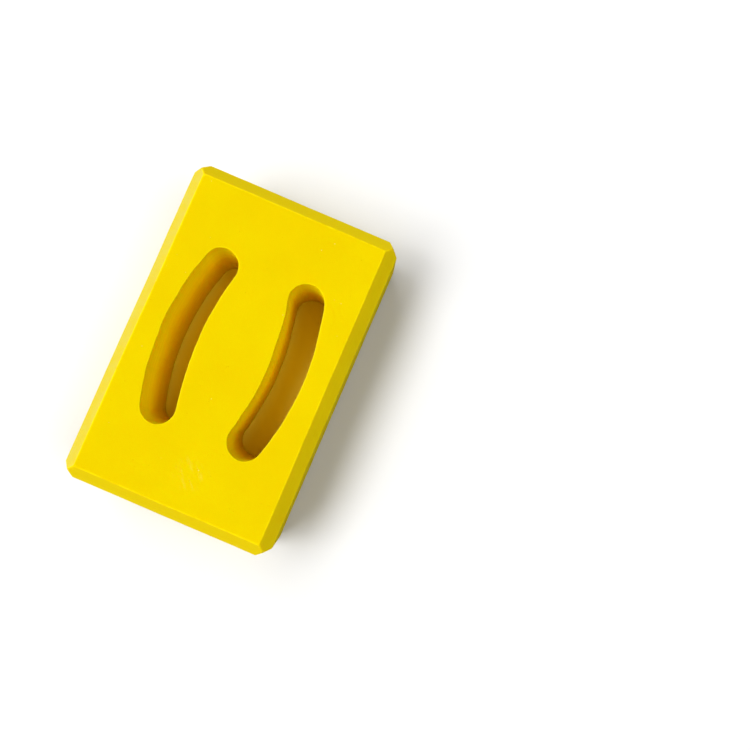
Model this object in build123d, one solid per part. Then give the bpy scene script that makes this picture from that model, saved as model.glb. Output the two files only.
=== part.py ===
"""A foam block with two curved slots through it, lying on its large face.

The block is one piece of closed-cell foam. Its frame has X across the block, Y along its length
and Z through its thickness, with the origin at the middle of the face it lies on.
"""

from build123d import *
import math
import os

# ---- Driving dimensions, in millimetres ----

block_width = 150.0          # X
block_length = 230.0         # Y
block_thickness = 75.0       # Z
edge_chamfer = 8.5           # 45 degrees, on all twelve outer edges

slot_length = 126.0          # end to end, along the block
slot_width = 26.0            # at the slot's middle, where it is widest
slot_reach = 51.0            # from the block's centre line out to the slot's far edge
slot_outer_radius = 185.0    # of the long edge that bows out towards the block's side
slot_end_radius = 12.0       # of the slot's round ends
slot_offset = 2.5            # both slots are cut this far off the block's middle, along Y

cut_overrun = 5.0            # how far a cutting shape stands past the faces that it cuts


def mirrored(point):
    """The same point on the slot's other half."""
    return Vector(point.X, -point.Y)


def slot_outline():
    """The left slot: two long arcs that bow the same way, joined by a round end at each end."""
    far_middle = Vector(-slot_reach, 0)
    near_middle = Vector(-slot_reach + slot_width, 0)

    # The round end sits inside the far arc and touches it.
    far_centre = Vector(far_middle.X + slot_outer_radius, 0)
    end_y = slot_length / 2 - slot_end_radius
    reach_to_end = math.sqrt((slot_outer_radius - slot_end_radius) ** 2 - end_y**2)
    end_centre = Vector(far_centre.X - reach_to_end, end_y)

    # The near arc passes through its own middle and touches the outside of both round ends.
    set_back = end_centre.X - near_middle.X
    near_radius = (set_back**2 + end_y**2 - slot_end_radius**2) / (2 * (slot_end_radius + set_back))
    near_centre = Vector(near_middle.X + near_radius, 0)

    to_far_edge = (end_centre - far_centre).normalized()
    to_near_edge = (near_centre - end_centre).normalized()
    far_corner = end_centre + to_far_edge * slot_end_radius
    near_corner = end_centre + to_near_edge * slot_end_radius
    tip = end_centre + Vector(to_far_edge.Y, -to_far_edge.X) * slot_end_radius

    far_edge = ThreePointArc(mirrored(far_corner), far_middle, far_corner)
    top_end = ThreePointArc(far_corner, tip, near_corner)
    near_edge = ThreePointArc(near_corner, near_middle, mirrored(near_corner))
    bottom_end = ThreePointArc(mirrored(near_corner), mirrored(tip), mirrored(far_corner))
    return make_face([far_edge, top_end, near_edge, bottom_end])


def slot_cutter():
    """The space of the left slot, from below the block to above it."""
    height = block_thickness + 2 * cut_overrun
    return Pos(0, slot_offset, -cut_overrun) * extrude(slot_outline(), height)


def bar(length_x, length_y, length_z):
    """A centred box whose four edges along Z are cut at 45 degrees."""
    body = Box(length_x, length_y, length_z)
    return chamfer(body.edges().filter_by(Axis.Z), edge_chamfer)


def outer_body():
    """The block before its slots. Each edge is one straight cut, so three cuts meet in a point."""
    upright = bar(block_width, block_length, block_thickness)
    lengthwise = Rot(90, 0, 0) * bar(block_width, block_thickness, block_length)
    crosswise = Rot(0, 90, 0) * bar(block_thickness, block_length, block_width)
    return Pos(0, 0, block_thickness / 2) * (upright & lengthwise & crosswise)


def foam_block():
    """The block with both slots. The right slot is the left one's mirror image."""
    left_slot = slot_cutter()
    right_slot = mirror(left_slot, about=Plane.YZ)
    return outer_body() - left_slot - right_slot


os.makedirs("parts", exist_ok=True)
export_step(foam_block(), "parts/foam_block.step")
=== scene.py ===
"""Looks of the foam block with two curved slots: its mesh, its foam material, the table and the light."""

import math

import bmesh
import bpy
import numpy as np
from mathutils import Matrix, Vector, noise
from mathutils.geometry import delaunay_2d_cdt


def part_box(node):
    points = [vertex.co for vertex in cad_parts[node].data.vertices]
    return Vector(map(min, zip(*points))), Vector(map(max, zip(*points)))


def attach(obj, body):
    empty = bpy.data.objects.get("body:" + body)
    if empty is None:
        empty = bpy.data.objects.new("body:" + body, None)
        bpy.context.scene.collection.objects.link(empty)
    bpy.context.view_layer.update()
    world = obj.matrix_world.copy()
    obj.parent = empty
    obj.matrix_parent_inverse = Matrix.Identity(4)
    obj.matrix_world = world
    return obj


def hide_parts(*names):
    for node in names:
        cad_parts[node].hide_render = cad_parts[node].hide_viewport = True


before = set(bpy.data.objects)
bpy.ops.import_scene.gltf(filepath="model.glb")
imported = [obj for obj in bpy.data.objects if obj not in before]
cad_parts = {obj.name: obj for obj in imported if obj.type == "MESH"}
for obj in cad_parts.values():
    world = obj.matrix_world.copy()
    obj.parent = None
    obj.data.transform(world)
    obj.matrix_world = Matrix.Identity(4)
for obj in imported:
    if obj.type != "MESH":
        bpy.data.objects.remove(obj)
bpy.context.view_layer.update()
block_low, block_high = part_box("foam_block")

MM = 0.001

noise.seed_set(1)                # otherwise noise_vector gives another mesh each run

# ---- The block's shape, as in the CAD part, in metres ----

half_width = (block_high.x - block_low.x) / 2
half_length = (block_high.y - block_low.y) / 2
base = block_low.z
top = block_high.z
edge_chamfer = 8.5 * MM

slot_length = 126 * MM
slot_width = 26 * MM
slot_reach = 51 * MM
slot_outer_radius = 185 * MM
slot_end_radius = 12 * MM
slot_offset = 2.5 * MM

# ---- What cutting and handling add to that shape ----

ridge_round = 0.45 * MM          # how far each ridge's rounding reaches along its two faces
rim_round = 0.5 * MM             # radius of the slots' rims
support_gap = 0.35 * MM          # from a rounding to the ring of vertices that keeps the face flat
ridge_steps = 4                  # points across a ridge's rounding
rim_steps = 5                    # and across a rim's

wander_depth = 0.55 * MM         # how far the hand-guided cut strays from the slot's outline
wander_length = 17 * MM
chatter_depth = 0.16 * MM        # the cutter's short waves, on top of the wander
chatter_length = 3.8 * MM
wall_wave_height = 110 * MM      # both run nearly straight down the slot's wall

swell_depth = 0.22 * MM          # slow unevenness of every face
swell_length = 42 * MM
finer_swell = 3.1                # how many times shorter the second, finer swell is
finer_share = 0.35               # and how deep it is beside the first

wall_levels = 32                 # rings down a slot's wall
outline_step = 1.0 * MM          # vertex spacing along a slot's outline
side_step = 2.5 * MM             # and round the block
face_step = 3.0 * MM             # and inside the two large faces
edge_gap = 0.6 * face_step       # from those vertices to the rings at the faces' edges


# ---- Mesh building ----

class Surface:
    """The vertices and faces of one mesh, collected ring by ring.

    Each vertex also has how pale it is made, 1 on the ridges and rims, partly for wear and partly as a
    painted highlight, and how far down a slot it is,
    0 on the outside and 1 where the slot meets the table.
    """

    def __init__(self):
        self.points = []
        self.paling = []
        self.depth = []
        self.faces = []

    def add(self, points, paling=0.0, depth=0.0):
        """Adds points and returns their numbers. worn is one number, or one for each point."""
        first = len(self.points)
        self.points.extend(tuple(p) for p in points)
        count = len(self.points) - first
        self.paling.extend(np.broadcast_to(paling, count).tolist())
        self.depth.extend([depth] * count)
        return list(range(first, len(self.points)))

    def bridge(self, ring, next_ring):
        """Joins two closed rings of the same length with quads."""
        count = len(ring)
        for i in range(count):
            j = (i + 1) % count
            self.faces.append((ring[i], ring[j], next_ring[j], next_ring[i]))


def arc_points(centre, radius, start, end, step):
    """Points along an arc and its outward directions, without the last point."""
    count = max(4, round(abs(end - start) * radius / step))
    angles = np.linspace(start, end, count, endpoint=False)
    directions = np.stack([np.cos(angles), np.sin(angles)], axis=1)
    return np.asarray(centre) + radius * directions, directions


def slot_outline(side):
    """The outline of one slot in plan, and the directions out of the slot into the foam.

    side is -1 for the left slot and 1 for the right one.
    """
    far_x = -slot_reach + slot_outer_radius
    end_y = slot_length / 2 - slot_end_radius
    end_x = far_x - math.sqrt((slot_outer_radius - slot_end_radius) ** 2 - end_y**2)
    near_middle = -slot_reach + slot_width
    set_back = end_x - near_middle
    near_radius = (set_back**2 + end_y**2 - slot_end_radius**2) / (2 * (slot_end_radius + set_back))
    near_x = near_middle + near_radius

    far_tilt = math.atan2(end_y, far_x - end_x)
    near_tilt = math.atan2(end_y, near_x - end_x)
    turn = math.pi
    far, far_out = arc_points((far_x, 0), slot_outer_radius, turn + far_tilt, turn - far_tilt, outline_step)
    upper, upper_out = arc_points((end_x, end_y), slot_end_radius, turn - far_tilt, -near_tilt, outline_step)
    near, near_in = arc_points((near_x, 0), near_radius, turn - near_tilt, turn + near_tilt, outline_step)
    lower, lower_out = arc_points((end_x, -end_y), slot_end_radius, near_tilt, far_tilt - turn, outline_step)

    outline = np.concatenate([far, upper, near, lower])
    outward = np.concatenate([far_out, upper_out, -near_in, lower_out])
    mirror = np.array([-side, 1])
    return outline * mirror + [0, slot_offset], outward * mirror


def cut_error(x, y, z):
    """How far the cut strays into the foam at a point of a slot's wall."""
    slow = Vector((x, y, z * wander_length / wall_wave_height)) / wander_length
    fast = Vector((x, y, z * chatter_length / wall_wave_height)) / chatter_length
    return wander_depth * noise.noise(slow) + chatter_depth * noise.noise(fast)


def slot_ring(outline, outward, set_back, z):
    """One ring of a slot's wall at height z, set back into the foam by set_back."""
    ring = []
    for (x, y), (out_x, out_y) in zip(outline, outward):
        reach = set_back + cut_error(x, y, z)
        ring.append((x + out_x * reach, y + out_y * reach, z))
    return ring


def slot_profile():
    """The slot wall from the top face to the bottom face, as (set back into the foam, height, worn).

    Only the upper rim is made paler, partly as wear and partly as a painted highlight.
    """
    bends = np.linspace(0, math.pi / 2, rim_steps)
    rim = [(rim_round * (1 - math.sin(a)), top - rim_round * (1 - math.cos(a)), 1) for a in bends]
    upper = [(rim_round + support_gap, top, 0)] + rim
    levels = np.linspace(top - rim_round - support_gap, base + rim_round + support_gap, wall_levels)
    lower = [(back, base + top - z, 0) for back, z, _ in reversed(upper)]
    return upper + [(0, z, 0) for z in levels] + lower


def ridge(before, corner, after):
    """A corner of a profile or outline, rounded: points on the curve that touches both its sides.

    On a short side it takes less than half, so that two roundings never meet.
    """
    before, corner, after = (np.asarray(p, float) for p in (before, corner, after))
    side_in = np.linalg.norm(before - corner)
    side_out = np.linalg.norm(after - corner)
    reach = min(ridge_round, 0.45 * side_in, 0.45 * side_out)
    start = corner + (before - corner) / side_in * reach
    end = corner + (after - corner) / side_out * reach
    steps = np.linspace(0, 1, ridge_steps)[:, None]
    return (1 - steps) ** 2 * start + 2 * steps * (1 - steps) * corner + steps**2 * end


def flat_run(start, end, count):
    """Points strictly between two roundings, with one close to each of them to keep the run flat."""
    start, end = np.asarray(start), np.asarray(end)
    length = np.linalg.norm(end - start)
    close = min(support_gap, 0.25 * length) / length
    shares = [close, *np.linspace(0, 1, count + 1)[1:-1], 1 - close]
    return [start + (end - start) * share for share in sorted(set(shares))]


def side_profile():
    """The block's side from the top face to the bottom face, as (set in from the side, height, worn)."""
    corners = [
        (edge_chamfer * 2, top),
        (edge_chamfer, top),
        (0, top - edge_chamfer),
        (0, base + edge_chamfer),
        (edge_chamfer, base),
        (edge_chamfer * 2, base),
    ]
    profile = [(edge_chamfer + ridge_round + support_gap, top, 0)]
    for i in range(1, 5):
        bend = ridge(corners[i - 1], corners[i], corners[i + 1])
        profile.extend((*p, 1) for p in bend)
        if i < 4:
            next_bend = ridge(corners[i], corners[i + 1], corners[i + 2])
            height = np.linalg.norm(corners[i + 1] - np.asarray(corners[i]))
            profile.extend((*p, 0) for p in flat_run(bend[-1], next_bend[0], round(height / side_step)))
    profile.append((edge_chamfer + ridge_round + support_gap, base, 0))
    return profile


def side_outline(inset):
    """The block's outline in plan where its side is set in by inset, with its corners cut off.

    Returns the points, and which of them are on a ridge.
    """
    x = half_width - inset
    y = half_length - inset
    cut = max(edge_chamfer - 2 * inset, ridge_round)
    quarter = [(x, y - cut), (x - cut, y)]
    corners = quarter + [(-a, b) for a, b in reversed(quarter)]
    corners += [(-a, -b) for a, b in quarter] + [(a, -b) for a, b in reversed(quarter)]
    cut_width = edge_chamfer * math.sqrt(2)
    full_sides = [cut_width, 2 * half_width, cut_width, 2 * half_length]    # not set in, so all rings match
    outline = []
    paling = []
    for i in range(8):
        bend = ridge(corners[i - 1], corners[i], corners[(i + 1) % 8])
        next_bend = ridge(corners[i], corners[(i + 1) % 8], corners[(i + 2) % 8])
        straight = flat_run(bend[-1], next_bend[0], round(full_sides[i % 4] / side_step))
        outline += [*bend, *straight]
        paling += [1] * len(bend) + [0] * len(straight)
    return outline, paling


def inside(points, outline):
    """Which points lie inside a closed outline, counted by the outline's crossings."""
    x, y = points[:, 0:1], points[:, 1:2]
    start, end = outline, np.roll(outline, -1, axis=0)
    spans = (start[:, 1] > y) != (end[:, 1] > y)
    rise = np.where(end[:, 1] == start[:, 1], 1, end[:, 1] - start[:, 1])
    crossing = start[:, 0] + (y - start[:, 1]) * (end[:, 0] - start[:, 0]) / rise
    return (spans & (x < crossing)).sum(axis=1) % 2 == 1


def large_face(surface, z, outer_ring, slot_rings):
    """Fills one large face between the side's ring and the slots' rings with small triangles."""
    rings = [outer_ring, *slot_rings]
    numbers = [n for ring in rings for n in ring]
    plan = np.array([surface.points[n][:2] for n in numbers])
    edges = []
    first = 0
    for ring in rings:
        edges += [(first + i, first + (i + 1) % len(ring)) for i in range(len(ring))]
        first += len(ring)

    rows = np.arange(-half_length, half_length, face_step * math.sqrt(3) / 2)
    grid = [
        (x + (i % 2) * face_step / 2, y)
        for i, y in enumerate(rows)
        for x in np.arange(-half_width, half_width, face_step)
    ]
    grid = np.array(grid)
    gap = np.min(np.linalg.norm(grid[:, None] - plan[None], axis=2), axis=1)
    outlines = [np.array([surface.points[n][:2] for n in ring]) for ring in rings]
    keep = (gap > edge_gap) & inside(grid, outlines[0])
    for outline in outlines[1:]:
        keep &= ~inside(grid, outline)
    grid = grid[keep]

    numbers += surface.add((x, y, z) for x, y in grid)
    plan = np.concatenate([plan, grid])
    made = delaunay_2d_cdt([Vector(p) for p in plan], edges, [], 1, 1e-9)
    made_points, made_faces, sources = np.array(made[0]), made[2], made[3]
    middles = np.array([made_points[list(f)].mean(axis=0) for f in made_faces])
    wanted = inside(middles, outlines[0])
    for outline in outlines[1:]:
        wanted &= ~inside(middles, outline)
    for face, is_wanted in zip(made_faces, wanted):
        if is_wanted:
            surface.faces.append(tuple(numbers[sources[v][0]] for v in face))


def swell(surface):
    """Moves every point a little, so that no face is perfectly flat and no edge perfectly straight."""
    shifted = []
    for x, y, z in surface.points:
        place = Vector((x, y, z)) / swell_length
        finer = noise.noise_vector(place * finer_swell) * finer_share
        drift = (noise.noise_vector(place) + finer) * swell_depth
        hold = min(1, (z - base) / edge_chamfer)       # the underside stays on the table
        shifted.append((x + drift.x, y + drift.y, z + drift.z * hold))
    surface.points = shifted


def side_rings(surface):
    """The rings of vertices round the block, from the top face's edge to the bottom face's."""
    rings = []
    for inset, z, ring_paling in side_profile():
        outline, point_paling = side_outline(inset)
        paling = np.maximum(ring_paling, point_paling)
        rings.append(surface.add([(x, y, z) for x, y in outline], paling))
    return rings


def slot_rings(surface, side):
    """The rings of vertices down one slot's wall."""
    outline, outward = slot_outline(side)
    rings = []
    for back, z, paling in slot_profile():
        depth = (top - z) / (top - base) if back <= rim_round else 0
        rings.append(surface.add(slot_ring(outline, outward, back, z), paling, depth))
    return rings


def foam_mesh():
    """The whole block as one closed mesh."""
    surface = Surface()
    sides = side_rings(surface)
    walls = [slot_rings(surface, side) for side in (-1, 1)]
    for rings in [sides, *walls]:
        for ring, next_ring in zip(rings, rings[1:]):
            surface.bridge(ring, next_ring)
    large_face(surface, top, sides[0], [rings[0] for rings in walls])
    large_face(surface, base, sides[-1], [rings[-1] for rings in walls])
    swell(surface)

    mesh = bpy.data.meshes.new("foam_brick")
    mesh.from_pydata(surface.points, [], surface.faces)
    mesh.polygons.foreach_set("use_smooth", np.ones(len(surface.faces), bool))
    for name, values in (("paling", surface.paling), ("depth", surface.depth)):
        mesh.attributes.new(name, "FLOAT", "POINT").data.foreach_set("value", values)
    turn_outwards(mesh)
    return mesh


def turn_outwards(mesh):
    """Makes every face look out of the foam."""
    work = bmesh.new()
    work.from_mesh(mesh)
    bmesh.ops.recalc_face_normals(work, faces=work.faces)
    work.to_mesh(mesh)
    work.free()


# ---- Materials ----

skin_light = (0.712, 0.545, 0.0002, 1)       # the outside, in clouds of these two
skin_deep = (0.697, 0.530, 0.0002, 1)
# The slot walls' colours are painted light, lighter than the outside and oranger lower down, standing in for
# light bounced and scattered inside the slots.
wall_top_painted_light = (0.980, 0.785, 0.0003, 1)       # a slot's wall at its top, lighter than the outside
wall_low_painted_light = (1.000, 0.620, 0.0001, 1)        # and lower down, for the photo's tones
deep_yellow = (0.680, 0.440, 0.0003, 1)      # in pits as painted shade, and in grain and saw lines
pale_yellow = (0.870, 0.680, 0.003, 1)       # on pale grain, and on ridges partly as wear and partly as a painted highlight
dust = (0.900, 0.790, 0.300, 1)
# Painted reflection of the white table, making the left edge cut paler.
painted_table_reflection = (0.645, 0.555, 0.095, 1)             # on the left edge cut, which is the palest in the photo
table_dark = (0.775, 0.775, 0.775, 1)
table_light = (0.795, 0.795, 0.795, 1)
# Painted yellow light bounced from the slot walls onto the table seen through the slots.
painted_slot_bounce_light = (1.000, 0.960, 0.120, 1)     # as yellow as the photo shows it

cloud_size = 26 * MM
patch_size = 7 * MM
freckle_size = 2.6 * MM
grain_size = 0.55 * MM
saw_line_size = (70 * MM, 70 * MM, 0.8 * MM)       # level lines on the sides
cut_line_size = (1.3 * MM, 1.3 * MM, 45 * MM)      # upright lines in the slots
speck_spacing = 7 * MM
pit_spacing = 5 * MM
table_cloud_size = 60 * MM

freckle_height = 0.05 * MM
grain_height = 0.035 * MM
saw_line_height = 0.13 * MM
cut_line_height = 0.15 * MM
pit_depth = 0.20 * MM

foam_gloss = 0.03
scatter_reach = 10 * MM                      # how far light travels inside the foam
scatter_by_colour = (0.80, 0.45, 0.02)       # its share for red, green and blue

# Where the top face was rubbed, with what that left there and how strongly it shows.
scuff_reach = 14 * MM
stroke_size = (2.4 * MM, 11 * MM, 8 * MM)
stroke_turn = math.radians(45)
scuffs = (
    ((7 * MM, -81 * MM, top), dust, 0.09),
    ((54 * MM, 54 * MM, top), deep_yellow, 0.30),
)


class Nodes:
    """Short ways to add and join the nodes of one material."""

    def __init__(self, name):
        self.material = bpy.data.materials.new(name)
        self.material.use_nodes = True
        self.tree = self.material.node_tree
        self.shader = self.tree.nodes["Principled BSDF"]
        place = self.tree.nodes.new("ShaderNodeTexCoord")
        self.place = place.outputs["Object"]
        self.outward = place.outputs["Normal"]

    def put(self, socket, value):
        """Gives an input a value, or a link when the value is another node's output."""
        if isinstance(value, bpy.types.NodeSocket):
            self.tree.links.new(value, socket)
        else:
            socket.default_value = value

    def noise(self, size, detail=2.0, roughness=0.5, turn=0.0):
        """Noise with features of a size in metres, or of three sizes along X, Y and Z turned about Z."""
        mapping = self.tree.nodes.new("ShaderNodeMapping")
        mapping.vector_type = "TEXTURE"
        mapping.inputs["Scale"].default_value = np.broadcast_to(size, 3)
        mapping.inputs["Rotation"].default_value = (0, 0, turn)
        self.put(mapping.inputs["Vector"], self.place)
        texture = self.tree.nodes.new("ShaderNodeTexNoise")
        texture.inputs["Scale"].default_value = 1
        texture.inputs["Detail"].default_value = detail
        texture.inputs["Roughness"].default_value = roughness
        self.put(texture.inputs["Vector"], mapping.outputs["Vector"])
        return texture.outputs["Fac"]

    def facing(self, direction):
        """1 where the block's surface looks within some 11 degrees of a direction, 0 beyond 25."""
        compare = self.tree.nodes.new("ShaderNodeVectorMath")
        compare.operation = "DOT_PRODUCT"
        self.put(compare.inputs[0], self.outward)
        compare.inputs[1].default_value = Vector(direction).normalized()
        return self.ramp(compare.outputs["Value"], 0.91, 0.98)

    def near(self, point, reach, core=0.3):
        """1 near a point, up to core times reach from it, and falling to 0 at a distance of reach."""
        gap = self.tree.nodes.new("ShaderNodeVectorMath")
        gap.operation = "DISTANCE"
        self.put(gap.inputs[0], self.place)
        gap.inputs[1].default_value = point
        return self.ramp(gap.outputs["Value"], core * reach, reach, 1.0, 0.0)

    def cells(self, size):
        """Distance from the nearest of many scattered points, and a random colour for each of them."""
        texture = self.tree.nodes.new("ShaderNodeTexVoronoi")
        texture.inputs["Scale"].default_value = 1 / size
        self.put(texture.inputs["Vector"], self.place)
        return texture.outputs["Distance"], texture.outputs["Color"]

    def attribute(self, name):
        """One of the mesh's own numbers."""
        reader = self.tree.nodes.new("ShaderNodeAttribute")
        reader.attribute_name = name
        return reader.outputs["Fac"]

    def ramp(self, value, low, high, start=0.0, end=1.0):
        """Start where the value is low or less, end where it is high or more, smooth between."""
        spread = self.tree.nodes.new("ShaderNodeMapRange")
        spread.interpolation_type = "SMOOTHSTEP"
        sockets = ("Value", "From Min", "From Max", "To Min", "To Max")
        for socket, number in zip(sockets, (value, low, high, start, end)):
            self.put(spread.inputs[socket], number)
        return spread.outputs["Result"]

    def math(self, operation, first, second):
        """Arithmetic on two values."""
        step = self.tree.nodes.new("ShaderNodeMath")
        step.operation = operation
        self.put(step.inputs[0], first)
        self.put(step.inputs[1], second)
        return step.outputs["Value"]

    def mix(self, amount, first, second):
        """First colour where amount is 0, second where it is 1."""
        blend = self.tree.nodes.new("ShaderNodeMix")
        blend.data_type = "RGBA"
        self.put(blend.inputs["Factor"], amount)
        self.put(blend.inputs["A"], first)
        self.put(blend.inputs["B"], second)
        return blend.outputs["Result"]

    def bump(self, height, distance, under=None):
        """A normal bent by a height, of distance metres for a height of 1, on top of another normal."""
        bend = self.tree.nodes.new("ShaderNodeBump")
        bend.inputs["Distance"].default_value = distance
        self.put(bend.inputs["Height"], height)
        if under:
            self.put(bend.inputs["Normal"], under)
        return bend.outputs["Normal"]


def foam_material():
    """Closed-cell foam: fine cut cells, cloudy colour, scattered pits and specks, paler edges partly as wear
    and partly as a painted highlight, with painted light down the slots, painted shade in the pits and a
    painted reflection on the left edge cut.
    """
    nodes = Nodes("yellow_foam")
    shader = nodes.shader.inputs
    paling = nodes.attribute("paling")
    depth = nodes.attribute("depth")

    clouds = nodes.noise(cloud_size, detail=4)
    patchy = nodes.noise(patch_size, detail=3)
    freckles = nodes.noise(freckle_size, detail=3, roughness=0.65)
    grain = nodes.noise(grain_size, detail=2, roughness=0.7)
    saw_lines = nodes.noise(saw_line_size, detail=3)
    cut_lines = nodes.noise(cut_line_size, detail=2)
    in_slot = nodes.ramp(depth, 0.0, 0.02)

    # The foam's own colour outside; down the slots, painted light: lighter than the outside at the top and
    # oranger lower down, standing in for light bounced and scattered inside the slot.
    skin = nodes.mix(nodes.ramp(clouds, 0.30, 0.70), skin_deep, skin_light)
    wall = nodes.mix(nodes.ramp(depth, 0.10, 0.68), wall_top_painted_light, wall_low_painted_light)
    colour = nodes.mix(in_slot, skin, wall)

    # Grain and saw lines.
    coarse_shade = nodes.ramp(freckles, 0.25, 0.75, -0.5, 0.5)
    fine_shade = nodes.ramp(grain, 0.2, 0.8, -0.6, 0.6)
    shade = nodes.math("ADD", coarse_shade, fine_shade)
    colour = nodes.mix(nodes.ramp(shade, -1.0, 0.0, 0.10, 0.0), colour, deep_yellow)
    colour = nodes.mix(nodes.ramp(shade, 0.0, 1.0, 0.0, 0.10), colour, pale_yellow)
    colour = nodes.mix(nodes.ramp(saw_lines, 0.35, 0.65, 0.20, 0.0), colour, deep_yellow)

    # Pale specks, and pits painted darker as shade in their dents, in some of the cells only.
    speck_distance, speck_kind = nodes.cells(speck_spacing)
    speck = nodes.ramp(speck_distance, 0.03, 0.07, 0.4, 0.0)
    speck = nodes.math("MULTIPLY", speck, nodes.ramp(speck_kind, 0.62, 0.66))
    colour = nodes.mix(speck, colour, dust)
    pit_distance, pit_kind = nodes.cells(pit_spacing)
    pit = nodes.ramp(pit_distance, 0.03, 0.09, 1.0, 0.0)
    pit = nodes.math("MULTIPLY", pit, nodes.ramp(pit_kind, 0.5, 0.55))
    colour = nodes.mix(nodes.math("MULTIPLY", pit, 0.35), colour, deep_yellow)

    # Rubbed places, a painted reflection of the white table on the left edge cut, and ridges made paler,
    # partly as wear and partly as a painted highlight.
    strokes = nodes.noise(stroke_size, detail=3, turn=stroke_turn)
    for place, stain, most in scuffs:
        rub = nodes.ramp(strokes, 0.48, 0.75, 0.0, most)
        scuff = nodes.math("MULTIPLY", rub, nodes.near(place, scuff_reach))
        colour = nodes.mix(scuff, colour, stain)

    # Painted reflection of the white table: the left edge cut made paler in patches.
    left_cut = nodes.facing((-1, 0, 1))
    painted_reflection = nodes.math("MULTIPLY", left_cut, nodes.ramp(patchy, 0.30, 0.70, 0.32, 0.64))
    colour = nodes.mix(painted_reflection, colour, painted_table_reflection)
    # Ridges and rims made paler in patches, partly as wear and partly as a painted highlight.
    patchy_paling = nodes.math("MULTIPLY", paling, nodes.ramp(patchy, 0.30, 0.65, 0.10, 0.70))
    nodes.put(shader["Base Color"], nodes.mix(patchy_paling, colour, pale_yellow))

    fine_rough = nodes.ramp(shade, -1.0, 1.0, 0.27, 0.17)
    patchy_rough = nodes.ramp(patchy, 0.3, 0.7, 0.25, 0.20)
    nodes.put(shader["Roughness"], nodes.math("ADD", fine_rough, patchy_rough))
    shader["Specular IOR Level"].default_value = foam_gloss
    nodes.put(shader["Subsurface Weight"], nodes.ramp(depth, 0.0, 0.04, 0.35, 1.0))
    shader["Subsurface Radius"].default_value = scatter_by_colour
    shader["Subsurface Scale"].default_value = scatter_reach

    relief = nodes.bump(grain, grain_height)
    relief = nodes.bump(freckles, freckle_height, under=relief)
    relief = nodes.bump(saw_lines, saw_line_height, under=relief)
    relief = nodes.bump(pit, -pit_depth, under=relief)
    relief = nodes.bump(nodes.math("MULTIPLY", cut_lines, in_slot), cut_line_height, under=relief)
    nodes.put(shader["Normal"], relief)
    return nodes.material


def table_material():
    """A plain white table, very slightly uneven, painted yellow where it shows through the slots, standing
    in for light bounced there from the slot walls.

    The tint fills two rounds under the block. They cover both slots and end inside its underside.
    """
    nodes = Nodes("white_table")
    tone = nodes.mix(nodes.noise(table_cloud_size), table_dark, table_light)
    round_reach = half_width - 1.6 * edge_chamfer
    # Painted bounce light: yellow rounds under the block, seen through the slots.
    for middle in (-slot_reach / 2, slot_reach / 2):
        painted_bounce_round = nodes.near((0, middle, base), round_reach, core=0.98)
        tone = nodes.mix(painted_bounce_round, tone, painted_slot_bounce_light)
    nodes.put(nodes.shader.inputs["Base Color"], tone)
    nodes.shader.inputs["Roughness"].default_value = 0.75
    nodes.shader.inputs["Specular IOR Level"].default_value = 0.2
    return nodes.material


# ---- Scene ----

def make_camera():
    """The camera almost straight above the table, to the block's right, turned as the photograph is."""
    place = Vector((94.2 * MM, -6.2 * MM, top + 554.6 * MM))
    target = Vector((92.5 * MM, 31.2 * MM, base))
    picture_up = math.radians(23.1)                # from +Y towards -X
    data = bpy.data.cameras.new("camera")
    data.lens = 40
    data.sensor_width = 36
    camera = bpy.data.objects.new("camera", data)
    bpy.context.scene.collection.objects.link(camera)
    back = (place - target).normalized()
    up_hint = Vector((-math.sin(picture_up), math.cos(picture_up), 0))
    right = up_hint.cross(back).normalized()
    up = back.cross(right)
    turned = Matrix((right, up, back)).transposed().to_4x4()
    camera.matrix_world = Matrix.Translation(place) @ turned
    bpy.context.scene.camera = camera


def soft_light(name, azimuth, elevation, spread, strength):
    """A large far-off lamp that gloss doesn't show.

    Azimuth is counted from +X towards +Y, and spread is how wide the lamp looks, all in degrees.
    """
    data = bpy.data.lights.new(name, "SUN")
    data.angle = math.radians(spread)
    data.energy = strength
    light = bpy.data.objects.new(name, data)
    bpy.context.scene.collection.objects.link(light)
    level = math.cos(math.radians(elevation))
    around = math.radians(azimuth)
    height = math.sin(math.radians(elevation))
    towards = Vector((level * math.cos(around), level * math.sin(around), height))
    light.rotation_mode = "QUATERNION"
    light.rotation_quaternion = towards.to_track_quat("Z", "Y")
    light.visible_glossy = False


def make_world(strength):
    """An even studio. The camera sees it white, and it lights the scene with the given strength."""
    world = bpy.data.worlds.new("studio")
    world.use_nodes = True
    tree = world.node_tree
    background = tree.nodes["Background"]
    background.inputs["Color"].default_value = (1, 1, 1, 1)
    seen = tree.nodes.new("ShaderNodeLightPath")
    level = tree.nodes.new("ShaderNodeMath")
    level.operation = "MAXIMUM"
    level.inputs[1].default_value = strength
    tree.links.new(seen.outputs["Is Camera Ray"], level.inputs[0])
    tree.links.new(level.outputs["Value"], background.inputs["Strength"])
    world.cycles_visibility.glossy = False
    bpy.context.scene.world = world


def make_table():
    """A round white table, far wider than any view, just under the block."""
    surface = base - 0.2 * MM
    bpy.ops.mesh.primitive_circle_add(vertices=96, radius=6, fill_type="NGON", location=(0, 0, surface))
    table = bpy.context.object
    table.name = "table"
    table.data.materials.append(table_material())
    table.visible_glossy = False


make_camera()
bpy.context.scene.view_settings.view_transform = "Standard"
make_table()
make_world(strength=0.04)
soft_light("key", azimuth=222, elevation=51, spread=36, strength=1.75)
soft_light("left_back", azimuth=140, elevation=53, spread=38, strength=0.95)
soft_light("left_high", azimuth=190, elevation=64, spread=26, strength=1.25)
soft_light("right_fill", azimuth=5, elevation=62, spread=30, strength=1.05)

foam_brick = bpy.data.objects.new("foam_brick", foam_mesh())
bpy.context.scene.collection.objects.link(foam_brick)
foam_brick.data.materials.append(foam_material())
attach(foam_brick, "root")
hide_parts("foam_block")
